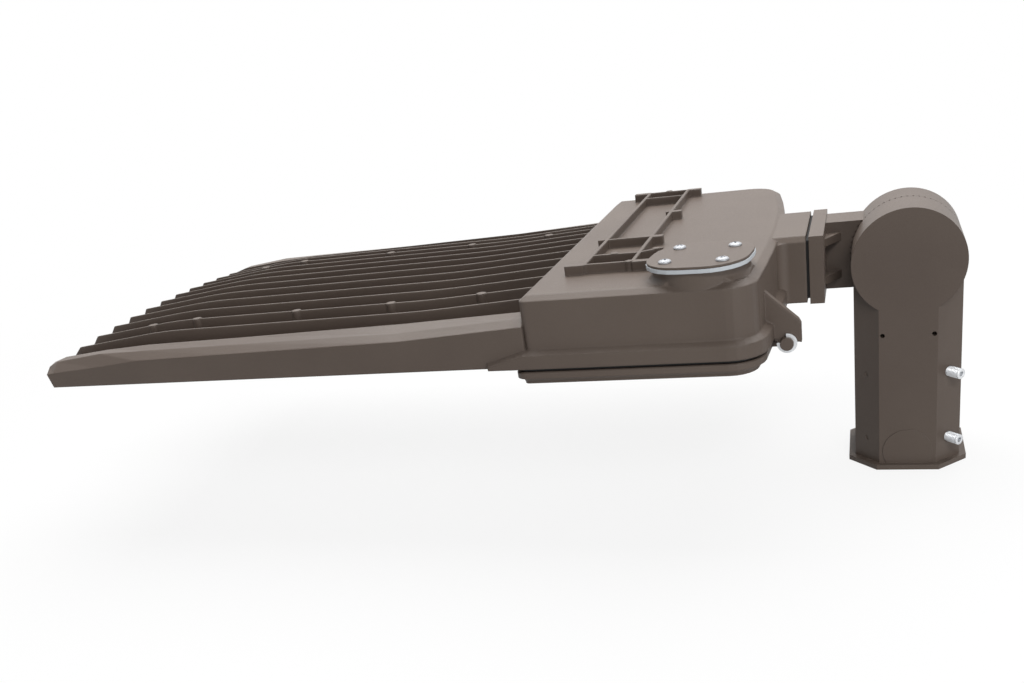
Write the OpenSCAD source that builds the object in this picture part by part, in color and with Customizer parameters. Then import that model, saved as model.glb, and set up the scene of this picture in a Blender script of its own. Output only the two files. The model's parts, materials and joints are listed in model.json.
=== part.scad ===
// Shoebox area light on an adjustable slip fitter.
// Millimetres. Z is up along the pole, the head reaches out along -X, and the knuckle turns about Y.
// The origin is the centre of the slip fitter's mouth, where the pole tenon enters.

/* [Slip fitter] */
// Bore for a 60.3 mm pole tenon
tenon_bore_d = 62.5; // [61.5:0.5:64]
// Depth of the tenon bore from the mouth to its stop
tenon_depth = 100; // [92:1:102]
// Width of the tube across its side faces
tube_w = 76.4; // [75:0.2:79]
// Depth of the tube from its front face to its back face
tube_d = 82.8; // [81:0.2:86]
// Corner chamfer of the tube, measured along each face
tube_chamfer = 17.7; // [15:0.1:19]
// How far the collar stands out round the mouth
collar_lip = 4.9; // [3:0.1:7]
// Height of the collar
collar_h = 3.9; // [3:0.1:8]
// Thread diameter of the two clamping set screws
set_screw_d = 8; // [6:0.5:10]
// Height of the upper set screw above the mouth
set_screw_upper_z = 75; // [60:1:85]
// Height of the lower set screw above the mouth
set_screw_lower_z = 22; // [16:1:40]
// How far the backed-out set screws stand proud of the chamfer
set_screw_proud = 11; // [6:1:16]

/* [Knuckle] */
// Height of the knuckle axis above the mouth
pivot_z = 161.2; // [160:0.2:170]
// Outer diameter of both half drums
drum_d = 79.2; // [78:0.2:81]
// Thickness of the half drum on the arm
far_drum_t = 32.5; // [30:0.5:38]
// Gap between the two half drums
seam_gap = 0.3; // [0.2:0.1:0.5]
// Number of face teeth round the seam
tooth_count = 60; // [40:5:72]
// Depth of the notch between two teeth
tooth_depth = 0.8; // [0.5:0.1:1.2]
// Thread diameter of the pivot bolt
pivot_bolt_d = 12; // [10:1:13]
// Distance from the knuckle axis to the back of the flange plate
flange_reach = 58.1; // [56:0.1:60]
// Thickness of the flange plate
flange_t = 10.3; // [8:0.1:11]
// Width of the flange plate
flange_w = 93; // [88:0.5:98]
// Height of the flange plate
flange_h = 50.2; // [46:0.2:52]
// Height of the arm block
arm_h = 51.3; // [48:0.1:52]

/* [Head] */
// Distance from the knuckle axis to the tip of the head
head_reach = 683; // [672:1:760]
// Width across the two side rails
head_w = 332.2; // [324:0.2:350]
// How far the head's underside lies below the knuckle axis
under_drop = 23.4; // [22:0.2:24.4]
// Width of a side rail
rail_w = 20.4; // [18:0.2:22]
// Thickness of the heat-sink floor
floor_t = 3.5; // [3.2:0.1:5]
// Depth of the recess for the light engine under the floor
recess_h = 8.6; // [8.4:0.1:10]

/* [Fins] */
// Number of heat-sink fins between the rails
fin_count = 11; // [7:2:11]
// Thickness of a fin at its crest
fin_crest_t = 2; // [1.5:0.1:2.6]
// Thickness of a fin at its root
fin_root_t = 3.6; // [2.8:0.1:4.5]
// Height of the middle fin's crest above the underside, at the bend near the tip
crest_h = 35.4; // [33:0.2:38]
// Fall of the crest line for each millimetre from that bend to the tip
nose_slope = 0.11; // [0.06:0.01:0.14]
// Rise of the crest line along its long middle stretch
plateau_slope = 0.012; // [0:0.002:0.016]
// Rise of the crest line as it nears the driver box
root_slope = 0.055; // [0.02:0.005:0.065]
// How far the outer fins sit below the middle one
crown_drop = 5.3; // [3:0.1:6]
// Diameter of the round bosses on the second fin from each side
fin_boss_d = 7.6; // [6:0.1:9]

/* [Driver box] */
// Distance from the knuckle axis to the front of the driver box
box_front = 255.5; // [250:0.5:262]
// Distance from the knuckle axis to the back of the driver box at its middle
box_back = 90; // [89.5:0.1:91]
// Height of the driver box from the underside to its top
box_h = 50.3; // [49:0.1:54]
// Width of the chamfer round the top of the box
box_chamfer_w = 5.6; // [3:0.1:5.8]
// Height of the chamfer round the top of the box
box_chamfer_h = 3.5; // [2:0.1:5]
// Wall thickness of the driver box
box_wall = 4.5; // [3.5:0.1:5]
// Radius of the box's back corners in plan
box_back_r = 20; // [14:0.5:24]
// Radius of the far back corner at the top of the box
box_top_r = 30; // [26:0.5:34]
// Radius of the box's front corners in plan
box_front_r = 6; // [6:0.5:10]
// How far the sill stands out from the box wall
sill_w = 5.4; // [4:0.1:6]
// Height of the sill's upright edge
sill_h = 9.8; // [8:0.1:11]
// Height of the cast ribs on top of the box
rib_h = 6.7; // [4:0.1:9]
// Thickness of the cast ribs
rib_t = 2.6; // [2:0.1:4]

/* [Door] */
// Height of the door pan
door_h = 10; // [9.5:0.1:12]
// Gap between the door pan and the box, filled by the gasket
door_gap = 2.8; // [2:0.1:3.2]
// Radius of the pan's lower edge
door_edge_r = 5; // [3:0.1:6]
// How far the pan lies inside the edge of the sill
door_inset = 2.4; // [1.8:0.1:3]
// How far the pan runs forward of the driver box
door_lead = 5.5; // [0:0.5:6]
// Distance from the knuckle axis to the hinge pins
hinge_reach = 80; // [79.5:0.1:80.5]
// Diameter of the hinge pins
pin_d = 9; // [8:0.1:9.2]
// How far inside the side of the head each hinge ear stands
ear_in = 38.1; // [34:0.1:48]
// Thickness of a hinge ear
ear_t = 6; // [5:0.5:8]
// Width of a hinge lug on the door
lug_w = 12; // [8:0.5:16]

/* [Photocontrol cover] */
// Width across the flats of the cover plate
cover_w = 68.6; // [66:0.2:73]
// Corner radius of the cover plate
cover_r = 27; // [20:0.5:32]
// Thickness of the cover plate
cover_t = 1.6; // [1.2:0.1:3]
// Thickness of the cover gasket
cover_gasket_t = 2.6; // [1.5:0.1:4]
// Height of the cast boss under the cover
cover_boss_h = 8.6; // [6:0.1:11]
// Spacing of the four cover screws
cover_screw_pitch = 38.4; // [36:0.2:41]

/* [Light engine] */
// Gap between a lens array and the lip or the driver box at its end
lens_end_gap = 3.75; // [3:0.05:8]
// Gap between a lens array and the rail beside it
lens_side_gap = 5.7; // [4:0.1:9]
// Gap between two lens arrays
lens_gap = 4; // [2:0.5:5]
// Lenses along one array
lens_cols = 8; // [6:1:9]
// Lenses across one array
lens_rows = 5; // [4:1:6]
// Radius of a lens dome
dome_r = 7.5; // [5:0.1:8]
// Height of a lens dome
dome_h = 2.6; // [2:0.1:2.8]

/* [Hidden] */

$fn = 64;
// How far a cut runs past the face it opens
over = 1;
// How far a cast feature sinks into the wall that carries it
embed = 0.8;
// Clearance of a screw in its tapped hole, radial
thread_clear = 0.03;
// Clearance of a running pin or bolt, radial
run_clear = 0.08;
// Gap between faces of two bodies that move past each other
face_gap = 0.3;
// Steps along a rounded corner of an outline
corner_steps = 6;
// Share of a socket screw's head radius that its hex socket takes
hex_share = 0.5;
// Radius of a pan head's crown as a share of its head radius
crown_share = 1.6;

// Slip fitter
tube_hw = tube_w / 2;
tube_hd = tube_d / 2;
near_y = -tube_hd;
bore_r = tenon_bore_d / 2;
drum_r = drum_d / 2;
half_seam = seam_gap / 2;
far_y = half_seam + far_drum_t;
// Radial wall of the half drums round their cavity
drum_wall = 9.6;
drum_cavity_r = drum_r - drum_wall;
// Closed outer face of each half drum
drum_face_t = 5;
// Gap between the roof of the tube and the far half drum
roof_gap = 1.6;
roof_z = pivot_z - drum_r - roof_gap;
// Roof over the back of the tube
roof_t = 5;
// Bore above the tenon stop, for the wires
wire_bore_r = 22;
// Radial width of the toothed band
tooth_band = 3.2;
// Share of the tooth pitch that a notch takes
notch_share = 0.55;
notch_w = notch_share * PI * drum_d / tooth_count;
// Seal ring between the half drums and its groove
seal_r = 1.6;
seal_land = 2.9;
seal_track_r = drum_r - tooth_band - seal_land;
seal_groove_w = 3.6;
seal_groove_h = 2 * seal_r;
// Set screws
set_socket_depth = 4;
set_tip_back = 0.8;
set_bevel = 0.8;
set_angle = -45;
chamfer_plane = (tube_hw + tube_hd - tube_chamfer) / sqrt(2);
chamfer_mid = [tube_hw - tube_chamfer / 2, tube_chamfer / 2 - tube_hd];
set_screw_l = chamfer_plane + set_screw_proud - bore_r - set_tip_back;
// Cast dimples on the chamfer that is not drilled
dimple_r = 1.8;
dimple_h = 0.6;
// Tapped accessory holes in the front face
accessory_pitch = 36;
accessory_drop = 53.7;
accessory_r = 1.7;
accessory_depth = 6;
// Raised arch on the front face above the collar
arch_h = 27.5;
arch_hw = 18;
arch_t = 0.5;
// Pivot bolt with its lock washer and flat washer, in a well in the arm
head_r_share = 0.75;
head_h_share = 0.7;
washer_r_share = 0.95;
lock_washer_r_share = 0.8;
bolt_head_r = pivot_bolt_d * head_r_share;
bolt_head_h = pivot_bolt_d * head_h_share;
bolt_engage = 26;
washer_t = 2.2;
washer_r = pivot_bolt_d * washer_r_share;
lock_washer_t = 2.4;
lock_washer_r = pivot_bolt_d * lock_washer_r_share;
lock_washer_slit = 1.6;
well_wall = 3;
well_side_gap = 1.2;
head_sink = 1.2;
head_well_r = washer_r + well_side_gap;
hub_r = head_well_r + well_wall;
well_depth = bolt_head_h + lock_washer_t + washer_t + head_sink;
well_y = far_y - well_depth;
lock_washer_y = well_y + washer_t;
bolt_head_y = lock_washer_y + lock_washer_t;

// Head
under_z = pivot_z - under_drop;
head_hw = head_w / 2;
rail_inner = head_hw - rail_w;
fin_pitch = 2 * rail_inner / (fin_count + 1);
fin_run = head_reach - box_front;
top_z = under_z + box_h;
floor_under_z = under_z + recess_h;
floor_z = floor_under_z + floor_t;

// Flange and neck
flange_drop = 0.9;
flange_low = under_z - flange_drop;
flange_face = flange_reach + flange_t;
arm_drop = 3.1;
arm_low = under_z - arm_drop;
flange_gasket_t = 2.1;
flange_gasket_inset = 3.5;
neck_face = flange_face + flange_gasket_t;
neck_inset = 0.9;
neck_hw = flange_w / 2 - neck_inset;
neck_wall = 6;
neck_shell = 4;
neck_chamfer_w = 3.4;
neck_chamfer_h = 4;
neck_step = 1;
neck_top = top_z - neck_step;
neck_fillet_r = 8;
wire_passage_r = 10;
wire_passage_y = half_seam + far_drum_t / 2;
wire_passage_rise = 24.5;
wire_passage_z = under_z + wire_passage_rise;
flange_bolt_r = 3;
flange_bolt_y = 33;
flange_bolt_rise = 13;
flange_bolt_head_r = 5.8;
flange_bolt_head_h = 4;
flange_washer_t = 1.6;
flange_washer_r = 6.2;
flange_bolt_spots = [for (y = [-flange_bolt_y, flange_bolt_y], z = [-flange_bolt_rise, flange_bolt_rise])
    [y, wire_passage_z + z]];
// Gussets between the arm and the flange plate: height of each top above the arm's foot
gusset_tops = [14.5, 43.4];
gusset_y = 21;
gusset_x = 11.5;
gusset_h = 6;
gusset_taper = 4;

// Crest line of the heat sink along the head, with a soft bend at each end of the plateau
front_bend_in = 98;
back_bend_out = 92;
front_bend = head_reach - front_bend_in;
back_bend = box_front + back_bend_out;
bend_half = 22;
tip_setback = 10;
crest_z = under_z + crest_h;
outer_fin_y = fin_pitch * (fin_count - 1) / 2;
function bend(t) = t < -bend_half ? 0 : t > bend_half ? t
    : (t + bend_half) * (t + bend_half) / (4 * bend_half);
function crest(x) = crest_z + plateau_slope * (x + front_bend)
    - (nose_slope - plateau_slope) * bend(-x - front_bend)
    + (root_slope - plateau_slope) * bend(x + back_bend);
function crown(y) = crown_drop * y * y / (outer_fin_y * outer_fin_y);
bend_shares = [-1, -0.5, 0, 0.5, 1];
bend_stations = concat(
    [for (s = bend_shares) s * bend_half - front_bend],
    [for (s = bend_shares) s * bend_half - back_bend],
    [embed - box_front]);
// Side rail: its top falls from the inner edge to a brow and then to the side
brow_share = 0.42;
rail_brow = head_hw - brow_share * rail_w;
// Stations from the nose's shoulder to the box: share of the way, then how far the inner edge,
// the brow and the side rise above the underside
rail_profile = [
    [0, 19.9, 19.5, 12.1], [0.11, 24.1, 24.4, 15.4], [0.21, 26.4, 25, 19.4],
    [0.41, 27.8, 25.8, 20.9], [0.77, 31.1, 27.5, 23.4], [0.99, 34.6, 33.3, 28.9]];
// Bevelled nose of the rail: how far back and how high each of its corners lies
nose_side_back = 7.5;
nose_brow_back = 5;
nose_inner_back = 1;
nose_foot_back = 3;
nose_side_rise = 11.4;
nose_brow_rise = 15.6;
nose_inner_rise = 16;
nose_shoulder = 7;
tip_lip = 13;
fin_foot_rise = 0.3;
// Share of the way from the tip of the head to the box at which each pair of fin bosses stands
fin_boss_shares = [0.166, 0.274, 0.5, 0.7, 0.88];
fin_boss_proud = 0.4;
fin_boss_y = fin_pitch * (fin_count - 3) / 2;

// Box outline: front and back corners are arcs and the back wall bows outward. Draft makes the
// far half bow more at the top of the box, while the near half stays full under the boss.
back_bow = 0.00023;
top_bow = 0.0006;
back_steps = 4;
function back_x(y, bow = back_bow) = -box_back - bow * y * y;
function arc(c, r, from, to) = [for (i = [0:corner_steps])
    let (a = from + (to - from) * i / corner_steps) [c[0] + r * cos(a), c[1] + r * sin(a)]];
function near_back(out, r, bow) =
    let (cy = head_hw - r)
    concat(
        arc([back_x(cy, bow) - r, -cy], r + out, 270, 360 - atan(2 * bow * cy)),
        [for (i = [1:back_steps - 1]) let (y = cy * (i / back_steps - 1)) [back_x(y, bow) + out, y]]);
function mirrored(points) = [for (i = [len(points) - 1:-1:0]) [points[i][0], -points[i][1]]];
function outline(out, front = box_front, near = [box_back_r, back_bow], far = [box_back_r, back_bow]) =
    let (fx = box_front_r - front, corner = arc([fx, box_front_r - head_hw], box_front_r + out, 180, 270))
    concat(
        corner,
        near_back(out, near[0], near[1]),
        [[out - box_back, 0]],
        mirrored(near_back(out, far[0], far[1])),
        mirrored(corner));
function at_z(points, z) = [for (p = points) [p[0], p[1], z]];
box_top_back = [box_top_r, top_bow];
box_roof_t = 4.1;
roof_under_z = top_z - box_roof_t;
sill_rise = 3.1;
// The sill starts as a low ramp on the rail
sill_lead = 27;
sill_front = box_front + sill_lead;
ramp_nose = 2;
ramp_edge_h = 2.2;
ramp_start_share = 0.05;
ramp_full_share = 0.9;

// Ladder of ribs on the box top
// How far behind the box front the two long ribs run
ladder_in = [35.9, 71.1];
ladder_x = [for (d = ladder_in) d - box_front];
// How far inside the side of the head the cross bars lie
bars_near_in = [54.1, 80.1, 130.1];
bars_far_in = [16.1, 41.1];
ladder_bars = concat([for (d = bars_near_in) d - head_hw], [for (d = bars_far_in) head_hw - d]);
lone_pad_in = 111.1;
lone_pad_y = head_hw - lone_pad_in;
ladder_end = 2;
pad_l = 14;
pad_far_l = 12;
pad_short_l = 8.8;
pad_t = 6.5;
pads_front = [ladder_bars[0], ladder_bars[3]];
pads_back = [[ladder_bars[0], pad_l], [ladder_bars[2], pad_short_l], [lone_pad_y, pad_short_l],
             [ladder_bars[3], pad_far_l]];
// Short ribs in front of a long rib
stub_l = 7;
stub_short_l = 4.5;
stubs = [[ladder_x[0], ladder_bars[2], stub_l], [ladder_x[1], lone_pad_y, stub_short_l]];
// Rib that runs on at an angle behind the ladder
long_bar_l = 18;
long_bar_turn = 30;
// Round dots on the ribs: how far behind the front rib, how far inside the side, and on which side
dot_r = 2.8;
dot_proud = 0.3;
dot_table = [[17.7, 14.6, 1], [32.8, 54.1, -1], [16.4, 81.6, -1], [46.5, 87.5, -1]];
ladder_dots = [for (d = dot_table) [ladder_x[0] + d[0], d[2] * (head_hw - d[1])]];

// Photocontrol boss: a round casting with a plate that sits slightly turned on it
cover_overhang = 1.2;
cover_in = 43.3;
cover_turn = -6;
cover_x = -box_back - cover_in;
cover_y = cover_w / 2 - cover_overhang - head_hw;
boss_top = top_z + cover_boss_h;
cover_boss_inset = 0.3;
cover_boss_r = head_hw + cover_y - cover_boss_inset;
cover_foot_out = 2.7;
cover_foot_h = 3;
cover_gasket_out = 0.5;
cover_gasket_top = boss_top + cover_gasket_t;
cover_top = cover_gasket_top + cover_t;
cover_screw_r = 2;
cover_screw_head_r = 4.4;
cover_screw_head_h = 2.6;
cover_hole_depth = 7;
cover_screw_bite = 6;
cover_spots = [for (a = [45:90:315])
    let (turn = a + cover_turn, reach = cover_screw_pitch / sqrt(2))
    [cover_x + reach * cos(turn), cover_y + reach * sin(turn)]];
receptacle_hole_r = 15;

// Door and hinge
door_top = under_z - door_gap;
door_low = door_top - door_h;
door_out = sill_w - door_inset;
door_front = box_front + door_lead;
door_floor_t = 3;
door_rim_w = 9;
door_top_bevel = 1;
hinge_drop = 3.3;
hinge_z = under_z - hinge_drop;
pin_r = pin_d / 2;
// Hinge ear seen along Y: its top at the wall, its nose and the metal round the pin
ear_y = head_hw - ear_in;
ear_top_rise = 34.3;
ear_nose_reach = 70.4;
ear_nose_rise = 15.7;
ear_nose_bevel = 3;
ear_boss_r = 6.6;
ear_foot_rise = 2.6;
lug_wall = 2.1;
lug_r = pin_r + lug_wall;
lug_sink = 3;
pin_end = 4;
clip_t = 1.2;
clip_out = 2.3;
clip_r = pin_r + clip_out;
clip_groove = 0.5;
clip_open = 80;
clip_turn = 45;
// Outer edges of the two snap-ring grooves of the near pin
clip_spots = [-ear_y - face_gap - clip_t, ear_t + lug_w + 3 * face_gap - ear_y];
door_screw_in = 15;
door_screw_x = door_screw_in - box_front;
door_screw_side = 18;
door_screw_y = head_hw - door_screw_side;
door_screw_r = 2.5;
door_screw_bite = 8;
door_screw_head_r = 5;
door_screw_head_h = 3;
lock_boss_r = 6.5;
lock_hole_clear = 0.9;
lock_hole_r = door_screw_r + lock_hole_clear;
lock_hole_depth = 12;
door_boss_r = 7.5;
gasket_w = 4;
gasket_in = 3;

// Contents of the driver box
driver_w = 60;
driver_h = 36;
driver_pad = 3;
driver_top = roof_under_z - driver_pad;
driver_tab_l = 12;
driver_tab_t = 2.4;
driver_screw_r = 2;
driver_screw_head_r = 4;
driver_screw_head_h = 2;
driver_screw_bite = 1;
driver_hole_bite = 2;
driver_front_gap = 8;
driver_spacing = 65;
driver_front_x = box_wall + driver_front_gap - box_front;
driver_back_x = driver_front_x + driver_spacing;
// How far each end of a driver stands inside the box's near or far wall
inner_hw = head_hw - box_wall;
driver_front_in = [49.6, 89.6];
driver_back_in = [103.6, 35.6];
driver_front_y = [driver_front_in[0] - inner_hw, inner_hw - driver_front_in[1]];
driver_back_y = [driver_back_in[0] - inner_hw, inner_hw - driver_back_in[1]];
driver_ends = [for (d = [[driver_front_x, driver_front_y], [driver_back_x, driver_back_y]], e = [0, 1])
    [d[0] + driver_w / 2, d[1][e] + (e == 0 ? -1 : 1) * driver_tab_l / 2]];
surge_size = [48, 40, 28];
surge_in = 3;
surge_gap = 20;
surge_at = [driver_front_x + surge_in, driver_front_y[1] + surge_gap];
block_size = [52, 20, 20];
block_in = 4;
block_gap = 34;
block_at = [driver_back_x + block_in, driver_back_y[0] - block_gap];
ground_in = 17;
ground_side = 81.6;
ground_at = [-box_back - ground_in, inner_hw - ground_side];
ground_screw_bite = 2;
ground_hole_depth = 2.6;
grommet_lip = 2.5;
grommet_wall = 3;
grommet_web = 2;

// Light engine
lens_arrays = [0:3];
lens_l = (head_reach - tip_lip - sill_front - lens_gap) / 2 - lens_end_gap;
lens_w = rail_inner - lens_gap / 2 - lens_side_gap;
lens_screw_r = 1.5;
lens_screw_head_r = 2.8;
lens_screw_head_h = 1.4;
lens_screw_bite = 1.8;
lens_hole_bite = 2.4;
lens_rim_w = 6;
lens_gasket_t = 0.8;
board_t = 1.6;
board_gap = 1;
board_in = lens_rim_w + board_gap;
chip_t = 0.8;
chip_w = 3.5;
lens_plate_t = 1.6;
lens_stack = 5.4;
lens_low = floor_under_z - lens_stack;
lens_mid_x = -(head_reach - tip_lip + sill_front) / 2;
lens_screw_inset = lens_rim_w / 2;
dome_pitch = [(lens_l - 2 * board_in) / lens_cols, (lens_w - 2 * board_in) / lens_rows];
dome_ball_r = (dome_r * dome_r + dome_h * dome_h) / (2 * dome_h);
function lens_centre(i) = [
    lens_mid_x + (i % 2 == 0 ? -1 : 1) * (lens_l + lens_gap) / 2,
    (i < 2 ? -1 : 1) * (lens_w + lens_gap) / 2];
function dome_at(i, c, r) = [
    lens_centre(i)[0] + (c - (lens_cols - 1) / 2) * dome_pitch[0],
    lens_centre(i)[1] + (r - (lens_rows - 1) / 2) * dome_pitch[1]];
function lens_spots(i) = [for (sx = [-1, 0, 1], sy = [-1, 1])
    [lens_centre(i)[0] + sx * (lens_l / 2 - lens_screw_inset),
     lens_centre(i)[1] + sy * (lens_w / 2 - lens_screw_inset)]];

// Colours as the photograph shows them
bronze = [0.36, 0.32, 0.29];
zinc = [0.78, 0.79, 0.8];
casing = [0.72, 0.73, 0.75];
seal_grey = [0.78, 0.8, 0.82];
seal_black = [0.08, 0.08, 0.08];
white = [0.92, 0.92, 0.9];
green = [0.2, 0.45, 0.25];
phosphor = [0.95, 0.8, 0.35];
clear = [0.9, 0.93, 0.95, 0.5];

// Solid through rings of points that stack along the body
module loft(rings) {
    n = len(rings[0]);
    last = (len(rings) - 1) * n;
    sides = [for (i = [0:len(rings) - 2], j = [0:n - 1])
        let (a = i * n + j, b = i * n + (j + 1) % n)
        each [[a, b + n, b], [a, a + n, b + n]]];
    caps = [[for (j = [0:n - 1]) j], [for (j = [n - 1:-1:0]) last + j]];
    polyhedron([for (r = rings) each r], concat(sides, caps), convexity = 8);
}

// Cylinder along Y from one Y to another
module bar_y(r, from, to) {
    translate([0, from, 0]) rotate([-90, 0, 0]) cylinder(r = r, h = to - from);
}

// Cylinder along X from one X to another
module bar_x(r, from, to) {
    translate([from, 0, 0]) rotate([0, 90, 0]) cylinder(r = r, h = to - from);
}

// Pan head on a plain shank that points down from Z = 0
module pan_screw(r, shank, head_r, head_h) {
    crown_r = head_r * crown_share;
    translate([0, 0, -shank]) cylinder(r = r, h = shank + head_h / 2, $fn = 32);
    rotate_extrude($fn = 48)
        intersection() {
            translate([0, head_h - crown_r]) circle(r = crown_r, $fn = 96);
            square([head_r, head_h]);
        }
}

// Square with rounded corners, centred
module round_square(w, r) {
    s = w / 2 - r;
    corners = [[s, -s, -90], [s, s, 0], [-s, s, 90], [-s, -s, 180]];
    polygon([for (c = corners) each arc([c[0], c[1]], r, c[2], c[2] + 90)]);
}

// Chamfered plan of the tube, or of its collar
module tube_plan(out) {
    w = tube_hw + out;
    d = tube_hd + out;
    c = tube_chamfer + out * (2 - sqrt(2));
    polygon([[w - c, -d], [w, c - d], [w, d - c], [w - c, d],
             [c - w, d], [-w, d - c], [-w, c - d], [c - w, -d]]);
}

// Radial notches in the toothed face of a half drum that looks along +Y from Y = 0
module tooth_notches() {
    for (i = [0:tooth_count - 1])
        rotate([0, i * 360 / tooth_count, 0])
            translate([drum_r - tooth_band, 0, 0])
                rotate([90, 0, 90])
                    linear_extrude(tooth_band + over)
                        polygon([[-notch_w / 2, 0], [0, -tooth_depth], [notch_w / 2, 0], [0, over]]);
}

// Puts its children on the axis of a set screw, from the chamfer outward
module on_set_axis(z) {
    translate([chamfer_mid[0], chamfer_mid[1], z])
        rotate([0, 0, set_angle]) rotate([0, 90, 0]) children();
}

module slip_fitter_tube() {
    color(bronze) difference() {
        union() {
            linear_extrude(roof_z) tube_plan(0);
            linear_extrude(collar_h) tube_plan(collar_lip);
            // The front of the tube runs up into the near half drum
            translate([0, 0, roof_z - embed])
                linear_extrude(pivot_z - roof_z + embed)
                    intersection() {
                        tube_plan(0);
                        translate([-tube_hw, near_y]) square([tube_w, tube_hd - half_seam]);
                    }
            translate([0, 0, pivot_z]) bar_y(drum_r, near_y, -half_seam);
            translate([0, near_y + embed, collar_h])
                rotate([90, 0, 0]) linear_extrude(embed + arch_t)
                    intersection() {
                        translate([0, arch_h - arch_hw]) circle(arch_hw);
                        translate([-arch_hw, 0]) square([2 * arch_hw, arch_h]);
                    }
        }
        translate([0, 0, -over]) cylinder(r = bore_r, h = tenon_depth + over);
        // Way for the wires, up into the drum
        translate([0, 0, tenon_depth - over])
            cylinder(r = wire_bore_r, h = roof_z - roof_t - tenon_depth + over);
        translate([0, 0, tenon_depth]) linear_extrude(pivot_z - hub_r - tenon_depth - over)
            intersection() {
                circle(wire_bore_r);
                translate([-tube_hw, near_y]) square([tube_w, tube_hd - half_seam - roof_t]);
            }
        translate([0, 0, pivot_z]) difference() {
            bar_y(drum_cavity_r, near_y + drum_face_t, over);
            bar_y(hub_r, near_y, -half_seam);
        }
        translate([0, 0, pivot_z])
            bar_y(pivot_bolt_d / 2 + thread_clear, -half_seam - bolt_engage - over, over);
        translate([0, -half_seam, pivot_z]) tooth_notches();
        translate([0, 0, pivot_z]) difference() {
            bar_y(seal_track_r + seal_groove_w / 2, -half_seam - seal_groove_h, over);
            bar_y(seal_track_r - seal_groove_w / 2, -half_seam - seal_groove_h - over, over * 2);
        }
        for (z = [set_screw_upper_z, set_screw_lower_z])
            on_set_axis(z) translate([0, 0, -chamfer_plane])
                cylinder(r = set_screw_d / 2 + thread_clear, h = 2 * chamfer_plane);
        for (z = [set_screw_upper_z, set_screw_lower_z])
            mirror([1, 0, 0]) on_set_axis(z) translate([0, 0, -dimple_h])
                cylinder(r = dimple_r, h = dimple_h + over);
        for (s = [-0.5, 0.5])
            translate([s * accessory_pitch, near_y + accessory_depth, pivot_z - accessory_drop])
                rotate([90, 0, 0]) cylinder(r = accessory_r, h = accessory_depth + over);
    }
}

module set_screw(z) {
    r = set_screw_d / 2;
    color(zinc) on_set_axis(z)
        translate([0, 0, set_screw_proud - set_screw_l])
            difference() {
                rotate_extrude() polygon([
                    [0, 0], [r - set_bevel, 0], [r, set_bevel], [r, set_screw_l - set_bevel],
                    [r - set_bevel, set_screw_l], [0, set_screw_l]]);
                translate([0, 0, set_screw_l - set_socket_depth])
                    cylinder(r = r * hex_share, h = set_socket_depth + over, $fn = 6);
            }
}

module set_screw_upper() set_screw(set_screw_upper_z);

module set_screw_lower() set_screw(set_screw_lower_z);

module pivot_bolt() {
    color(zinc) translate([0, 0, pivot_z]) difference() {
        union() {
            bar_y(pivot_bolt_d / 2, -half_seam - bolt_engage, bolt_head_y + embed);
            bar_y(bolt_head_r, bolt_head_y, bolt_head_y + bolt_head_h);
        }
        translate([0, bolt_head_y + bolt_head_h / 2, 0])
            rotate([-90, 0, 0]) cylinder(r = bolt_head_r * hex_share, h = bolt_head_h, $fn = 6);
    }
}

// Split ring under the bolt head
module pivot_lock_washer() {
    color(zinc) translate([0, 0, pivot_z]) difference() {
        bar_y(lock_washer_r, lock_washer_y, bolt_head_y);
        bar_y(pivot_bolt_d / 2 + run_clear, lock_washer_y - over, bolt_head_y + over);
        translate([-lock_washer_slit / 2, lock_washer_y - over, 0])
            cube([lock_washer_slit, lock_washer_t + 2 * over, lock_washer_r + over]);
    }
}

module pivot_washer() {
    color(zinc) translate([0, 0, pivot_z]) difference() {
        bar_y(washer_r, well_y + face_gap, lock_washer_y);
        bar_y(pivot_bolt_d / 2 + run_clear, well_y, far_y);
    }
}

module knuckle_seal() {
    color(seal_black) translate([0, -half_seam - seal_r, pivot_z]) rotate([90, 0, 0])
        rotate_extrude() translate([seal_track_r, 0]) circle(r = seal_r, $fn = 24);
}

// Web in the corner between the arm and the flange plate, under a level top
module gusset(top) {
    low = top - gusset_h;
    back = half_seam + embed;
    loft([
        [[-flange_reach - embed, back, low - gusset_taper], [-flange_reach - embed, -gusset_y, low],
         [gusset_x - flange_reach, back, low]],
        [[-flange_reach - embed, back, top], [-flange_reach - embed, -gusset_y, top],
         [gusset_x - flange_reach, back, top]]]);
}

module knuckle_arm() {
    color(bronze) difference() {
        union() {
            translate([0, 0, pivot_z]) bar_y(drum_r, half_seam, far_y);
            translate([-flange_reach - embed, half_seam, arm_low])
                cube([flange_reach + embed, far_drum_t, arm_h]);
            translate([-flange_face, -flange_w / 2, flange_low]) cube([flange_t, flange_w, flange_h]);
            for (top = gusset_tops)
                gusset(arm_low + top);
        }
        translate([0, 0, pivot_z]) difference() {
            bar_y(drum_cavity_r, -over, far_y - drum_face_t);
            bar_y(hub_r, half_seam, far_y);
        }
        translate([0, 0, pivot_z]) bar_y(pivot_bolt_d / 2 + run_clear, -over, far_y + over);
        translate([0, 0, pivot_z]) bar_y(head_well_r, well_y, far_y + over);
        translate([0, half_seam, pivot_z]) mirror([0, 1, 0]) tooth_notches();
        translate([0, wire_passage_y, wire_passage_z])
            bar_x(wire_passage_r, -flange_face - over, -hub_r - over);
        for (p = flange_bolt_spots)
            translate([0, p[0], p[1]])
                bar_x(flange_bolt_r + thread_clear, -flange_face - over, over - flange_reach);
    }
}

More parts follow.
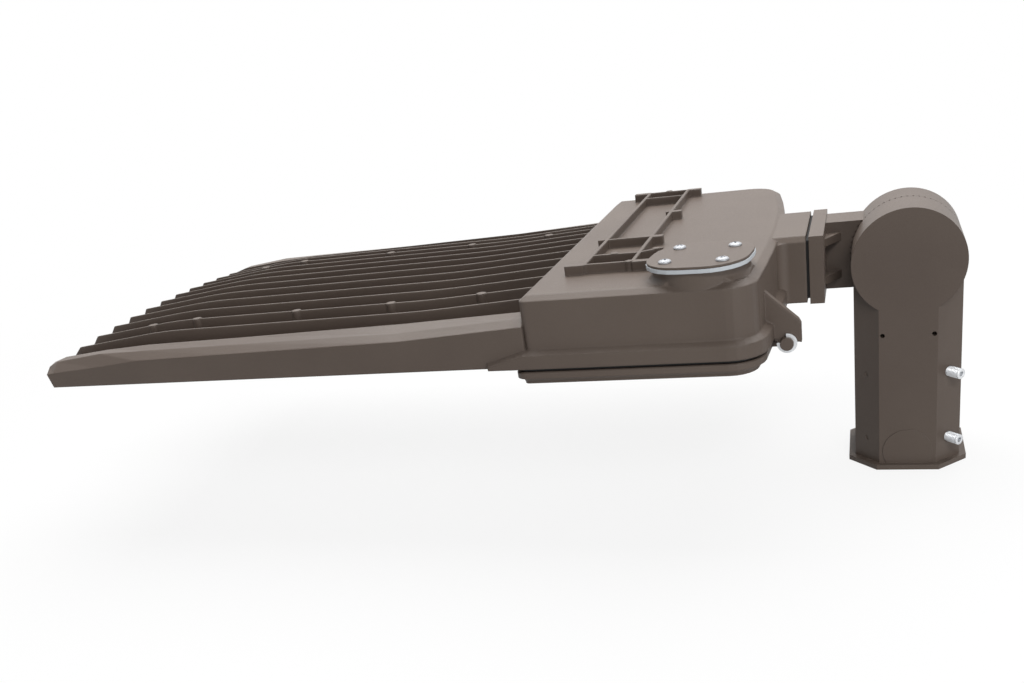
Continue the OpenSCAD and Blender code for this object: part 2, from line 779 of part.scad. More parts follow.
module flange_gasket() {
    w = flange_w - 2 * flange_gasket_inset;
    color(seal_black) difference() {
        translate([-neck_face, -w / 2, flange_low + flange_gasket_inset])
            cube([flange_gasket_t, w, flange_h - 2 * flange_gasket_inset]);
        translate([0, wire_passage_y, wire_passage_z])
            bar_x(wire_passage_r, -neck_face - over, over - flange_face);
        for (p = flange_bolt_spots)
            translate([0, p[0], p[1]])
                bar_x(flange_bolt_r + run_clear, -neck_face - over, over - flange_face);
    }
}

module flange_bolts() {
    seat = -neck_face - neck_wall - flange_washer_t;
    color(zinc)
        for (p = flange_bolt_spots)
            translate([0, p[0], p[1]]) {
                bar_x(flange_bolt_r, seat - embed, -flange_reach - over);
                translate([seat - flange_bolt_head_h, 0, 0])
                    rotate([0, 90, 0]) cylinder(r = flange_bolt_head_r, h = flange_bolt_head_h, $fn = 6);
            }
}

module flange_washers() {
    face = -neck_face - neck_wall;
    color(zinc)
        for (p = flange_bolt_spots)
            translate([0, p[0], p[1]]) difference() {
                bar_x(flange_washer_r, face - flange_washer_t, face);
                bar_x(flange_bolt_r + run_clear, face - flange_washer_t - over, face + over);
            }
}

// Section of the near rail at one X, from its foot round to its side, for one row of the profile
function rail_section(x, row) =
    [[x, -head_hw, under_z], [x, -rail_inner, under_z], [x, -rail_inner, under_z + row[1]],
     [x, -rail_brow, under_z + row[2]], [x, -head_hw, under_z + row[3]]];

module near_rail() {
    tip = -head_reach;
    shoulder = tip + nose_side_back + nose_shoulder;
    nose = [
        [tip + nose_side_back + nose_foot_back, -head_hw, under_z],
        [tip + nose_inner_back + nose_foot_back, -rail_inner, under_z],
        [tip + nose_inner_back, -rail_inner, under_z + nose_inner_rise],
        [tip + nose_brow_back, -rail_brow, under_z + nose_brow_rise],
        [tip + nose_side_back, -head_hw, under_z + nose_side_rise]];
    loft(concat(
        [nose],
        [for (row = rail_profile) rail_section(shoulder - row[0] * (shoulder + box_front), row)],
        [rail_section(embed - box_front, rail_profile[len(rail_profile) - 1])]));
}

// One fin: thick at the root, thin at the crest and sloping back at the tip
module fin(y) {
    low = floor_z - embed;
    xs = concat([over - head_reach, tip_setback - head_reach], bend_stations);
    loft([for (i = [0:len(xs) - 1])
        let (x = xs[i], z = i == 0 ? floor_z + fin_foot_rise : crest(x) - crown(y))
        [[x, y - fin_root_t / 2, low], [x, y + fin_root_t / 2, low],
         [x, y + fin_crest_t / 2, z], [x, y - fin_crest_t / 2, z]]]);
}

module fin_bosses() {
    low = floor_z - embed;
    for (share = fin_boss_shares, s = [-1, 1])
        let (x = share * fin_run - head_reach)
            translate([x, s * fin_boss_y, low])
                cylinder(d = fin_boss_d, h = crest(x) - crown(fin_boss_y) + fin_boss_proud - low);
}

module box_shell() {
    loft([
        at_z(outline(0), under_z),
        at_z(outline(0, far = box_top_back), top_z - box_chamfer_h),
        at_z(outline(-box_chamfer_w, far = box_top_back), top_z)]);
    // Sill round the foot of the box
    loft([
        at_z(outline(sill_w), under_z),
        at_z(outline(sill_w), under_z + sill_h),
        at_z(outline(0), under_z + sill_h + sill_rise)]);
}

// Ramp of the sill down along the near rail
module sill_ramp() {
    inner = over - head_hw;
    stations = [
        [-sill_front - ramp_nose, ramp_start_share * sill_w, ramp_edge_h],
        [-sill_front, ramp_full_share * sill_w, ramp_edge_h],
        [-box_front, sill_w, sill_h],
        [-box_front + box_front_r, sill_w, sill_h]];
    loft([for (p = stations)
        [[p[0], -head_hw - p[1], under_z], [p[0], inner, under_z],
         [p[0], inner, under_z + p[2] + sill_rise], [p[0], -head_hw - p[1], under_z + p[2]]]]);
}

module neck() {
    w = neck_hw;
    plan = [[-w, under_z], [w, under_z], [w, neck_top - neck_chamfer_h], [w - neck_chamfer_w, neck_top],
            [neck_chamfer_w - w, neck_top], [-w, neck_top - neck_chamfer_h]];
    translate([-box_back - box_wall, 0, 0]) rotate([90, 0, 90])
        linear_extrude(box_back + box_wall - neck_face) polygon(plan);
    // Fillets in the corners between the neck and the back wall
    wall_x = back_x(neck_hw + neck_fillet_r);
    for (m = [0, 1])
        mirror([0, m, 0]) translate([wall_x, neck_hw, under_z])
            linear_extrude(neck_top - neck_chamfer_h - under_z) difference() {
                translate([-over, -over]) square(neck_fillet_r + over);
                translate([neck_fillet_r, neck_fillet_r]) circle(neck_fillet_r);
            }
}

module ladder() {
    low = top_z - embed;
    h = rib_h + embed;
    span = ladder_x[1] - ladder_x[0];
    near_end = ladder_bars[0] - ladder_end;
    for (x = ladder_x)
        translate([x - rib_t / 2, near_end, low]) cube([rib_t, ladder_bars[3] + ladder_end - near_end, h]);
    for (y = ladder_bars)
        translate([ladder_x[0], y - rib_t / 2, low]) cube([span, rib_t, h]);
    for (y = pads_front)
        translate([ladder_x[0] - pad_l, y - pad_t / 2, low]) cube([pad_l, pad_t, h]);
    for (p = pads_back)
        translate([ladder_x[1], p[0] - pad_t / 2, low]) cube([p[1], pad_t, h]);
    for (b = stubs)
        translate([b[0] - b[2], b[1] - rib_t / 2, low]) cube([b[2], rib_t, h]);
    translate([ladder_x[1], ladder_bars[1], low])
        rotate([0, 0, long_bar_turn]) translate([0, -rib_t / 2, 0]) cube([long_bar_l, rib_t, h]);
    for (d = ladder_dots)
        translate([d[0], d[1], low]) cylinder(r = dot_r, h = h + dot_proud, $fn = 32);
}

module cover_boss() {
    foot = top_z - box_chamfer_h - embed;
    translate([cover_x, cover_y, foot]) cylinder(r = cover_boss_r, h = boss_top - foot);
    // Flared foot, cut off at the sides of the box
    intersection() {
        translate([cover_x, cover_y, top_z])
            cylinder(r1 = cover_boss_r + cover_foot_out, r2 = cover_boss_r, h = cover_foot_h);
        translate([0, 0, foot]) linear_extrude(boss_top - foot) polygon(outline(-box_chamfer_w));
    }
}

// Ear that carries the near hinge pin, on a back wall that bows by the given rate
module ear_plate(bow) {
    wall_x = back_x(ear_y, bow) - over;
    translate([0, ear_t - ear_y, 0]) rotate([90, 0, 0]) linear_extrude(ear_t) {
        polygon([
            [wall_x, under_z + ear_top_rise], [-ear_nose_reach - ear_nose_bevel / 2, hinge_z + ear_nose_rise],
            [-ear_nose_reach, hinge_z + ear_nose_rise - ear_nose_bevel], [-ear_nose_reach, hinge_z],
            [-hinge_reach - ear_boss_r, hinge_z + ear_foot_rise], [back_x(ear_y) - over, under_z],
            [wall_x, under_z + sill_h]]);
        translate([-hinge_reach, hinge_z]) circle(ear_boss_r);
    }
}

module housing_walls() {
    difference() {
        union() {
            box_shell();
            for (m = [0, 1])
                mirror([0, m, 0]) sill_ramp();
            neck();
            // Bulkhead between the light engine and the driver box
            translate([-sill_front, over - head_hw, under_z])
                cube([sill_lead + over, head_w - 2 * over, floor_z - under_z]);
        }
        translate([0, 0, under_z - over])
            linear_extrude(roof_under_z - under_z + over)
                polygon(outline(-box_wall, far = box_top_back));
        // The neck is hollow up to its end wall
        translate([-box_back - box_wall - over, neck_shell - neck_hw, under_z + neck_shell])
            cube([box_back + box_wall + over - neck_face - neck_wall, 2 * (neck_hw - neck_shell),
                  neck_top - under_z - 2 * neck_shell]);
    }
}

module heat_sink() {
    floor_hw = rail_inner + over;
    for (m = [0, 1])
        mirror([0, m, 0]) near_rail();
    translate([over - head_reach, -floor_hw, floor_under_z])
        cube([head_reach - box_front - over, 2 * floor_hw, floor_t]);
    translate([over - head_reach, -floor_hw, under_z])
        cube([tip_lip - over, 2 * floor_hw, floor_z - under_z - embed]);
    for (i = [0:fin_count - 1])
        fin((i - (fin_count - 1) / 2) * fin_pitch);
    fin_bosses();
}

module housing() {
    color(bronze) difference() {
        union() {
            housing_walls();
            heat_sink();
            ladder();
            cover_boss();
            ear_plate(back_bow);
            mirror([0, 1, 0]) ear_plate(top_bow);
            // Pads under the drivers and bosses for the door screws
            for (p = driver_ends)
                translate([p[0], p[1], driver_top]) cylinder(r = driver_tab_l / 2, h = driver_pad + embed);
            for (s = [-1, 1])
                translate([door_screw_x, s * door_screw_y, under_z])
                    cylinder(r = lock_boss_r, h = roof_under_z - under_z + embed);
        }
        translate([cover_x, cover_y, roof_under_z - over])
            cylinder(r = receptacle_hole_r, h = boss_top - roof_under_z + 2 * over);
        for (p = cover_spots)
            translate([p[0], p[1], boss_top - cover_hole_depth])
                cylinder(r = cover_screw_r + thread_clear, h = cover_hole_depth + over);
        for (s = [-1, 1])
            translate([door_screw_x, s * door_screw_y, under_z - over])
                cylinder(r = lock_hole_r, h = lock_hole_depth + over);
        for (m = [0, 1])
            mirror([0, m, 0]) translate([-hinge_reach, 0, hinge_z])
                bar_y(pin_r, -ear_y - over, ear_t + over - ear_y);
        translate([0, wire_passage_y, wire_passage_z])
            bar_x(wire_passage_r, -neck_face - neck_wall - over, over - neck_face);
        for (p = flange_bolt_spots)
            translate([0, p[0], p[1]])
                bar_x(flange_bolt_r + run_clear, -neck_face - neck_wall - over, over - neck_face);
        for (p = driver_ends)
            translate([p[0], p[1], driver_top - over])
                cylinder(r = driver_screw_r + thread_clear, h = driver_pad + driver_hole_bite + over);
        for (i = lens_arrays, p = lens_spots(i))
            translate([p[0], p[1], floor_under_z - over])
                cylinder(r = lens_screw_r + thread_clear, h = lens_hole_bite + over, $fn = 24);
        translate([ground_at[0], ground_at[1], roof_under_z - over])
            cylinder(r = driver_screw_r + thread_clear, h = ground_hole_depth + over);
    }
}

module wire_grommet() {
    back = -neck_face - neck_wall;
    color(seal_black) translate([0, wire_passage_y, wire_passage_z]) difference() {
        union() {
            bar_x(wire_passage_r, back, -neck_face);
            bar_x(wire_passage_r + grommet_lip, back - grommet_lip, back);
        }
        // A thin web closes the grommet, and each wire pierces it
        bar_x(wire_passage_r - grommet_wall, back - grommet_lip - over, -neck_face - grommet_web);
    }
}

module cover_gasket() {
    color(seal_grey) difference() {
        translate([cover_x, cover_y, boss_top]) rotate([0, 0, cover_turn])
            linear_extrude(cover_gasket_t)
                round_square(cover_w + 2 * cover_gasket_out, cover_r + cover_gasket_out);
        translate([cover_x, cover_y, boss_top - over])
            cylinder(r = receptacle_hole_r, h = cover_gasket_t + 2 * over);
        for (p = cover_spots)
            translate([p[0], p[1], boss_top - over])
                cylinder(r = cover_screw_r + run_clear, h = cover_gasket_t + 2 * over);
    }
}

module receptacle_cover() {
    color(bronze) difference() {
        translate([cover_x, cover_y, cover_gasket_top]) rotate([0, 0, cover_turn])
            linear_extrude(cover_t) round_square(cover_w, cover_r);
        for (p = cover_spots)
            translate([p[0], p[1], cover_gasket_top - over])
                cylinder(r = cover_screw_r + run_clear, h = cover_t + 2 * over);
    }
}

module cover_screws() {
    shank = cover_t + cover_gasket_t + cover_screw_bite;
    color(zinc)
        for (p = cover_spots)
            translate([p[0], p[1], cover_top])
                pan_screw(cover_screw_r, shank, cover_screw_head_r, cover_screw_head_h);
}

module clip_ring(y, out, in) {
    difference() {
        bar_y(out, y, y + clip_t);
        bar_y(in, y - over, y + clip_t + over);
    }
}

module hinge_pins() {
    color(bronze)
        for (m = [0, 1])
            mirror([0, m, 0]) translate([-hinge_reach, 0, hinge_z])
                difference() {
                    bar_y(pin_r, -ear_y - pin_end, ear_t + lug_w + 2 * face_gap + pin_end - ear_y);
                    for (y = clip_spots)
                        clip_ring(y, pin_r + over, pin_r - clip_groove);
                }
}

module pin_clips() {
    reach = 2 * clip_r;
    spread = reach * tan(clip_open / 2);
    color(zinc)
        for (m = [0, 1])
            mirror([0, m, 0]) translate([-hinge_reach, 0, hinge_z])
                for (y = clip_spots)
                    difference() {
                        clip_ring(y, clip_r, pin_r - clip_groove);
                        // Mouth of the ring, up towards the head
                        translate([0, y - over, 0]) rotate([0, clip_turn, 0]) rotate([-90, 0, 0])
                            linear_extrude(clip_t + 2 * over)
                                polygon([[0, 0], [-reach, -spread], [-reach, spread]]);
                    }
}

// Metal-cased driver with a fixing tab at each end, hanging under the roof of the box
module led_driver(x, ys) {
    mid = x + driver_w / 2;
    color(casing) difference() {
        union() {
            translate([x, ys[0], driver_top - driver_h]) cube([driver_w, ys[1] - ys[0], driver_h]);
            translate([mid - driver_tab_l, ys[0] - driver_tab_l, driver_top - driver_tab_t])
                cube([2 * driver_tab_l, ys[1] - ys[0] + 2 * driver_tab_l, driver_tab_t]);
        }
        for (p = driver_ends)
            translate([p[0], p[1], driver_top - driver_tab_t - over])
                cylinder(r = driver_screw_r + run_clear, h = driver_tab_t + 2 * over);
    }
}

module led_driver_front() led_driver(driver_front_x, driver_front_y);

module led_driver_back() led_driver(driver_back_x, driver_back_y);

module driver_screws() {
    shank = driver_tab_t + driver_pad + driver_screw_bite;
    color(zinc)
        for (p = driver_ends)
            translate([p[0], p[1], driver_top - driver_tab_t]) mirror([0, 0, 1])
                pan_screw(driver_screw_r, shank, driver_screw_head_r, driver_screw_head_h);
}

module surge_protector() {
    color(seal_black)
        translate([surge_at[0], surge_at[1], roof_under_z - surge_size[2]]) cube(surge_size);
}

module terminal_block() {
    color(white)
        translate([block_at[0], block_at[1], roof_under_z - block_size[2]]) cube(block_size);
}

module ground_screw() {
    color(green) translate([ground_at[0], ground_at[1], roof_under_z]) mirror([0, 0, 1])
        pan_screw(driver_screw_r, ground_screw_bite, driver_screw_head_r, driver_screw_head_h);
}

module led_boards() {
    l = lens_l - 2 * board_in;
    w = lens_w - 2 * board_in;
    color(white)
        for (i = lens_arrays)
            translate([lens_centre(i)[0] - l / 2, lens_centre(i)[1] - w / 2, floor_under_z - board_t])
                cube([l, w, board_t]);
}

module led_chips() {
    low = floor_under_z - board_t - chip_t;
    color(phosphor)
        for (i = lens_arrays, c = [0:lens_cols - 1], r = [0:lens_rows - 1])
            let (at = dome_at(i, c, r))
                translate([at[0] - chip_w / 2, at[1] - chip_w / 2, low]) cube([chip_w, chip_w, chip_t]);
}

// One moulded array of lens domes on a plate with a raised rim
module lens_array(i) {
    at = [lens_centre(i)[0] - lens_l / 2, lens_centre(i)[1] - lens_w / 2];
    rim_top = floor_under_z - lens_gasket_t;
    color(clear) difference() {
        union() {
            translate([at[0], at[1], lens_low]) cube([lens_l, lens_w, rim_top - lens_low]);
            for (c = [0:lens_cols - 1], r = [0:lens_rows - 1])
                translate([dome_at(i, c, r)[0], dome_at(i, c, r)[1], lens_low + embed])
                    mirror([0, 0, 1]) rotate_extrude($fn = 32)
                        intersection() {
                            translate([0, dome_h + embed - dome_ball_r]) circle(r = dome_ball_r, $fn = 96);
                            square([dome_r, dome_h + embed]);
                        }
        }
        translate([at[0] + lens_rim_w, at[1] + lens_rim_w, lens_low + lens_plate_t])
            cube([lens_l - 2 * lens_rim_w, lens_w - 2 * lens_rim_w, lens_stack]);
        for (p = lens_spots(i))
            translate([p[0], p[1], lens_low - over])
                cylinder(r = lens_screw_r + run_clear, h = lens_stack + over, $fn = 24);
    }
}

module lens_array_1() lens_array(0);

module lens_array_2() lens_array(1);

module lens_array_3() lens_array(2);

module lens_array_4() lens_array(3);

module lens_gaskets() {
    l = lens_l - 2 * lens_rim_w;
    w = lens_w - 2 * lens_rim_w;
    h = lens_gasket_t + 2 * over;
    low = floor_under_z - lens_gasket_t;
    color(seal_black)
        for (i = lens_arrays)
            let (at = lens_centre(i))
                difference() {
                    translate([at[0] - lens_l / 2, at[1] - lens_w / 2, low])
                        cube([lens_l, lens_w, lens_gasket_t]);
                    translate([at[0] - l / 2, at[1] - w / 2, low - over]) cube([l, w, h]);
                    for (p = lens_spots(i))
                        translate([p[0], p[1], low - over])
                            cylinder(r = lens_screw_r + run_clear, h = h, $fn = 24);
                }
}

module lens_screws() {
    color(zinc)
        for (i = lens_arrays, p = lens_spots(i))
            translate([p[0], p[1], lens_low]) mirror([0, 0, 1])
                pan_screw(lens_screw_r, lens_stack + lens_screw_bite, lens_screw_head_r, lens_screw_head_h);
}

// Hinge lug on the back of the pan, inside the near ear, about the pin at the origin
module door_lug() {
    from = ear_t + face_gap - ear_y;
    back = back_x(ear_y) + hinge_reach + door_out;
    low = door_low + door_edge_r - hinge_z;
    difference() {
        union() {
            bar_y(lug_r, from, from + lug_w);
            translate([back - lug_sink, from, low])
                cube([lug_sink - back, lug_w, door_top - door_top_bevel - hinge_z - low]);
        }
        bar_y(pin_r + run_clear, from - over, from + lug_w + over);
    }
}

module driver_door() {
    edge = [for (i = [corner_steps:-1:0]) let (a = 90 * i / corner_steps)
        [door_edge_r * (1 - cos(a)), door_edge_r * (1 - sin(a))]];
    rings = concat(
        [for (p = edge)
            at_z(outline(door_out - door_edge_r + p[1], door_front), door_low + door_edge_r - p[0])],
        [at_z(outline(door_out, door_front), door_top - door_top_bevel),
         at_z(outline(door_out - door_top_bevel, door_front), door_top)]);
    color(bronze) difference() {
        union() {
            loft(rings);
            for (m = [0, 1])
                mirror([0, m, 0]) translate([-hinge_reach, 0, hinge_z]) door_lug();
        }
        translate([0, 0, door_low + door_floor_t])
            linear_extrude(door_h) difference() {
                polygon(outline(door_out - door_rim_w, door_front));
                for (s = [-1, 1])
                    translate([door_screw_x, s * door_screw_y]) circle(door_boss_r);
            }
        for (s = [-1, 1])
            translate([door_screw_x, s * door_screw_y, door_low - over])
                cylinder(r = door_screw_r + run_clear, h = door_h + 2 * over);
        for (s = [-1, 1])
            translate([door_screw_x, s * door_screw_y, door_low - over])
                cylinder(r = door_screw_head_r + face_gap, h = door_screw_head_h + over);
    }
}

module door_gasket() {
    color(seal_black) translate([0, 0, door_top])
        linear_extrude(door_gap - face_gap) difference() {
            polygon(outline(door_out - gasket_in, door_front));
            polygon(outline(door_out - gasket_in - gasket_w, door_front));
        }
}

module door_screw(s) {
    color(zinc) translate([door_screw_x, s * door_screw_y, door_low]) difference() {
        union() {
            cylinder(r = door_screw_head_r, h = door_screw_head_h);
            cylinder(r = door_screw_r, h = under_z + door_screw_bite - door_low);
        }
        translate([0, 0, -over])
            cylinder(r = door_screw_head_r * hex_share, h = door_screw_head_h / 2 + over, $fn = 6);
    }
}

module door_screw_near() door_screw(-1);

module door_screw_far() door_screw(1);

slip_fitter_tube();
set_screw_upper();
set_screw_lower();
pivot_bolt();
pivot_lock_washer();
pivot_washer();
knuckle_seal();
knuckle_arm();
flange_gasket();
flange_bolts();
flange_washers();
housing();
wire_grommet();
cover_gasket();
receptacle_cover();
cover_screws();
hinge_pins();
pin_clips();
led_driver_front();
led_driver_back();
driver_screws();
surge_protector();
terminal_block();
ground_screw();
led_boards();
led_chips();
lens_array_1();
lens_array_2();
lens_array_3();
lens_array_4();
lens_gaskets();
lens_screws();
driver_door();
door_gasket();
door_screw_near();
door_screw_far();
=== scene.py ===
import json
import math

import bmesh
import bpy
from mathutils import Matrix, Vector


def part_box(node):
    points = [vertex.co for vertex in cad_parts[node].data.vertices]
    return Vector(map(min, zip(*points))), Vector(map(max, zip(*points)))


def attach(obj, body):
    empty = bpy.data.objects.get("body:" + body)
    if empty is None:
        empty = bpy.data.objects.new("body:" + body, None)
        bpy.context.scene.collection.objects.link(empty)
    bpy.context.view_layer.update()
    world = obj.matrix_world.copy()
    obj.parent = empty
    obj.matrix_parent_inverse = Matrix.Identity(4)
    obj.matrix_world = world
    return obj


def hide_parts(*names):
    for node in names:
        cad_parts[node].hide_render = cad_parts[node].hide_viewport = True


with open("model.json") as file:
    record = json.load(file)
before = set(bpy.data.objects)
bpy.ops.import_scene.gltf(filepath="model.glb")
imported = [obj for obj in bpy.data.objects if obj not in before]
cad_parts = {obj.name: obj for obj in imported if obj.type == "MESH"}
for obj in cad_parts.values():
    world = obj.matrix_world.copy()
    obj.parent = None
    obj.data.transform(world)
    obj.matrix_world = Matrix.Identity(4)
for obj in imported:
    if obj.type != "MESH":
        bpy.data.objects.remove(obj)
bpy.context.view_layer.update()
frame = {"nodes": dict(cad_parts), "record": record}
nodes = frame["nodes"]
record = frame["record"]
slot_of = {p["node"]: p["material_slot"] for p in record["subparts"]}
body_of = {n: body for body, group in record["behaviour"]["bodies"].items() for n in group}
scene = bpy.context.scene
MM = 0.001


# Materials

NOISE_RANGE = (0.3, 0.7)  # Most values of a noise texture lie between these
BEVEL_SAMPLES = 6
WHITE = (1, 1, 1, 1)


def set_inputs(node, **values):
    """Sets named inputs of a node, an underscore standing for a space."""
    for key, value in values.items():
        node.inputs[key.replace("_", " ")].default_value = value


def add_node(tree, kind, **values):
    node = tree.nodes.new(kind)
    set_inputs(node, **values)
    return node


class Shader:
    """Builds one procedural material round a Principled shader."""

    def __init__(self, name):
        self.mat = bpy.data.materials.new(name)
        self.mat.use_nodes = True
        self.tree = self.mat.node_tree
        self.tree.nodes.clear()
        out = self.new("ShaderNodeOutputMaterial")
        self.bsdf = self.new("ShaderNodeBsdfPrincipled")
        self.link(self.bsdf.outputs[0], out.inputs[0])
        self.coords = self.new("ShaderNodeTexCoord").outputs["Object"]

    def new(self, kind, **values):
        return add_node(self.tree, kind, **values)

    def link(self, source, target):
        self.tree.links.new(source, target)

    def drive(self, **sources):
        """Links outputs to the Principled shader's named inputs."""
        for key, source in sources.items():
            self.link(source, self.bsdf.inputs[key.replace("_", " ")])

    def noise(self, scale, detail=2.0, rough=0.5, stretch=None):
        node = self.new("ShaderNodeTexNoise", Scale=scale, Detail=detail, Roughness=rough)
        if stretch:
            mapping = self.new("ShaderNodeMapping", Scale=stretch)
            self.link(self.coords, mapping.inputs["Vector"])
            self.link(mapping.outputs[0], node.inputs["Vector"])
        else:
            self.link(self.coords, node.inputs["Vector"])
        return node.outputs["Fac"]

    def ramp(self, noise, low, high):
        """Colours from low to high over the usual range of a noise."""
        node = self.new("ShaderNodeValToRGB")
        for element, at, colour in zip(node.color_ramp.elements, NOISE_RANGE, (low, high)):
            element.position = at
            element.color = (*colour, 1)
        self.link(noise, node.inputs[0])
        return node.outputs[0]

    def spread(self, noise, low, high, within=NOISE_RANGE):
        """Values from low to high over a range of a noise."""
        node = self.new("ShaderNodeMapRange", From_Min=within[0], From_Max=within[1],
                        To_Min=low, To_Max=high)
        self.link(noise, node.inputs["Value"])
        return node.outputs[0]

    def mix(self, share, base, colour):
        node = self.new("ShaderNodeMix")
        node.data_type = "RGBA"
        factor, first, second = node.inputs[0], node.inputs[6], node.inputs[7]
        self.link(share, factor)
        self.link(base, first)
        second.default_value = (*colour, 1)
        return node.outputs[2]

    def add(self, base, extra, weight):
        """base + weight * extra"""
        node = self.new("ShaderNodeMath")
        node.operation = "MULTIPLY_ADD"
        self.link(extra, node.inputs[0])
        node.inputs[1].default_value = weight
        self.link(base, node.inputs[2])
        return node.outputs[0]

    def bump(self, height, strength, distance, edge=0.0):
        """Bump on the surface, whose edges look rounded to the radius edge."""
        node = self.new("ShaderNodeBump", Strength=strength, Distance=distance)
        self.link(height, node.inputs["Height"])
        if edge:
            bevel = self.new("ShaderNodeBevel", Radius=edge)
            bevel.samples = BEVEL_SAMPLES
            self.link(bevel.outputs[0], node.inputs["Normal"])
        self.drive(Normal=node.outputs[0])


def srgb(*colour):
    """Linear values of a colour that is written as 0 to 255."""
    def one(c):
        c /= 255.0
        return c / 12.92 if c <= 0.04045 else ((c + 0.055) / 1.055) ** 2.4
    return tuple(one(c) for c in colour)


def shifted(colour, *shift):
    return srgb(*(c + d for c, d in zip(colour, shift)))


def paint(name, edge):
    """Dark bronze powder coat: fine pebbled skin, with light specks that are painted glint of faint
    metal flakes.
    """
    s = Shader(name)
    cloud = s.noise(9, detail=3)
    grain = s.noise(1400, detail=3, rough=0.6)
    dimples = s.noise(420)
    flake_glint = s.noise(5200, detail=1, rough=0.4)
    base = s.ramp(cloud, srgb(90, 79, 72), srgb(99, 88, 80))
    # Lighter specks over the base colour: painted glint of metal flakes in the coat
    base = s.mix(s.spread(flake_glint, 0.0, 0.35, within=(0.6, 0.75)), base, srgb(132, 121, 112))
    s.drive(Base_Color=base, Roughness=s.spread(grain, 0.38, 0.50))
    set_inputs(s.bsdf, Metallic=0.0, IOR=1.5, Specular_IOR_Level=0.25)
    s.bump(s.add(grain, dimples, weight=0.8), strength=0.16, distance=0.4 * MM, edge=edge)
    return s.mat


def metal(name, colour, rough, scratch=(1, 1, 1), metallic=1.0):
    """Bare or plated metal; scratch stretches its fine noise into lines."""
    s = Shader(name)
    cloud = s.noise(60, detail=4, rough=0.6)
    fine = s.noise(1600, detail=3, rough=0.6, stretch=scratch)
    s.drive(Base_Color=s.ramp(cloud, shifted(colour, -12, -12, -10), shifted(colour, 6, 6, 6)),
            Roughness=s.spread(fine, rough - 0.07, rough + 0.09))
    set_inputs(s.bsdf, Metallic=metallic)
    s.bump(fine, strength=0.08, distance=0.2 * MM, edge=0.3 * MM)
    return s.mat


def plastic(name, colour, rough, grain=900, depth=0.12, edge=0.4 * MM):
    s = Shader(name)
    cloud = s.noise(25, detail=3)
    fine = s.noise(grain, detail=3, rough=0.6)
    s.drive(Base_Color=s.ramp(cloud, shifted(colour, -5, -5, -5), shifted(colour, 4, 4, 4)),
            Roughness=s.spread(fine, rough - 0.06, rough + 0.06))
    s.bump(fine, strength=depth, distance=0.2 * MM, edge=edge)
    return s.mat


def acrylic():
    s = Shader("clear_lens")
    fine = s.noise(300)
    s.drive(Base_Color=s.ramp(fine, (0.9, 0.93, 0.95), (0.95, 0.97, 0.98)),
            Roughness=s.spread(fine, 0.02, 0.06))
    set_inputs(s.bsdf, IOR=1.49, Transmission_Weight=1.0)
    s.bump(fine, strength=0.02, distance=0.1 * MM)
    return s.mat


materials = {
    "bronze": paint("bronze_powder_coat", 0.9 * MM),
    "bronze_casting": paint("bronze_powder_coat_casting", 2.0 * MM),
    "bronze_knuckle": paint("bronze_powder_coat_knuckle", 0.5 * MM),
    "zinc": metal("zinc_plated_steel", (222, 224, 226), 0.42, metallic=0.55),
    "zinc_dull": metal("zinc_dull_heads", (166, 168, 171), 0.5, metallic=0.4),
    "seal_grey": plastic("grey_gasket", (200, 205, 210), 0.6),
    "seal_black": plastic("black_rubber", (30, 30, 31), 0.68),
    "casing": metal("driver_casing", (188, 190, 194), 0.38, scratch=(0.04, 1, 1)),
    "board": plastic("board_white", (234, 234, 230), 0.45, grain=500, depth=0.05),
    "chip": plastic("led_phosphor", (240, 205, 95), 0.35, grain=1500, depth=0.05, edge=0.0),
    "lens": acrylic(),
    "black_plastic": plastic("black_plastic", (33, 33, 35), 0.5),
    "white_plastic": plastic("white_plastic", (226, 226, 221), 0.45),
    "green_screw": plastic("green_screw", (62, 118, 70), 0.4),
}
# Castings whose edges are softer or crisper than those of the other painted pieces
edge_coats = {"housing": "bronze_casting", "slip_fitter_tube": "bronze_knuckle",
              "knuckle_arm": "bronze_knuckle"}

for name, node in nodes.items():
    coat = materials[edge_coats.get(name, slot_of[name])]
    if not node.data.materials:
        node.data.materials.append(coat)
    for held in node.material_slots:
        held.material = coat


# Rings of points and the surfaces through them

AROUND = 48           # Points of a ring
QUARTER = AROUND // 4
SOCKET_FACES = 6
THREAD_STEPS = 4      # Rings for each turn of a thread
SHARP = math.radians(32)
WELD = 0.002 * MM     # Corners of a CAD mesh that lie closer are one


def islands(name):
    """Lowest and highest corner of each separate solid in a CAD node."""
    bm = bmesh.new()
    bm.from_mesh(nodes[name].data)
    bmesh.ops.remove_doubles(bm, verts=bm.verts, dist=WELD)
    left = set(bm.verts)
    boxes = []
    while left:
        group, edge = set(), [left.pop()]
        while edge:
            v = edge.pop()
            group.add(v)
            for e in v.link_edges:
                w = e.other_vert(v)
                if w in left:
                    left.discard(w)
                    edge.append(w)
        xs, ys, zs = zip(*(v.co for v in group))
        boxes.append((Vector((min(xs), min(ys), min(zs))), Vector((max(xs), max(ys), max(zs)))))
    bm.free()
    return sorted(boxes, key=lambda box: (round(box[0].x, 4), round(box[0].y, 4)))


def round_ring(r, z):
    return [Vector((r * math.cos(math.tau * i / AROUND), r * math.sin(math.tau * i / AROUND), z))
            for i in range(AROUND)]


def hex_ring(r, z):
    """Hexagon with its corners at radius r, of as many points as a round ring."""
    ring = []
    half = math.pi / SOCKET_FACES
    for i in range(AROUND):
        a = math.tau * i / AROUND
        off = (a % (2 * half)) - half
        reach = r * math.cos(half) / math.cos(off)
        ring.append(Vector((reach * math.cos(a), reach * math.sin(a), z)))
    return ring


# Places of a quarter's points: -1 to 1 across an arm's end, above 1 along the arms' sides
CROSS_SHARES = (-1, -0.75, -0.5, -0.25, 0, 0.25, 0.5, 0.75, 1, 1.33, 1.67, 2)


